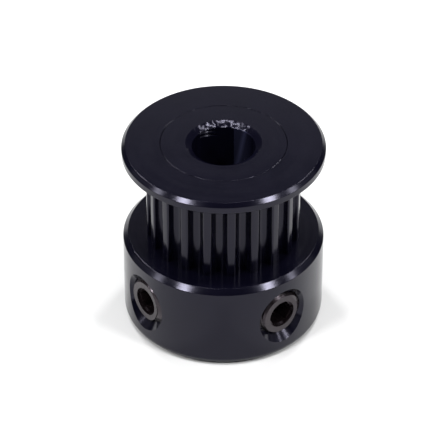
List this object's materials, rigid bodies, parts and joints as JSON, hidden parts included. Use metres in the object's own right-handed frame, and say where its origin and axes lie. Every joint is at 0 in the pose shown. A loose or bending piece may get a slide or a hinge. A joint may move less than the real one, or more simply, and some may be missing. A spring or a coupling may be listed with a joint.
{
  "type": "timing belt pulley",
  "caption": "Small black timing belt pulley with a toothed belt section, a pressed-on top flange and a hub with radial set screws.",
  "frame": {"origin": "on the bore's axis, at the hub's flat end face", "axes": "+Z along the bore's axis towards the flange; one set screw points along -Y, the other along +X"},
  "size_m": [0.016, 0.016, 0.016],
  "materials": {
    "anodised_body": "satin black anodised, turned and hobbed",
    "anodised_flange": "satin black anodised, finely turned face",
    "black_oxide_screw": "oiled black oxide on hardened steel"
  },
  "bodies": {
    "pulley": {"pulley_body": "anodised_body", "top_flange": "anodised_flange"},
    "front_screw": {"set_screw_front": "black_oxide_screw"},
    "side_screw": {"set_screw_side": "black_oxide_screw"}
  },
  "joints": [
    {"name": "front_screw_travel", "type": "slide", "parent": "pulley", "child": "front_screw", "axis": [0, -1, 0], "range_m": [-0.0014, 0.0028]},
    {"name": "side_screw_travel", "type": "slide", "parent": "pulley", "child": "side_screw", "axis": [1, 0, 0], "range_m": [-0.0014, 0.0028]}
  ]
}
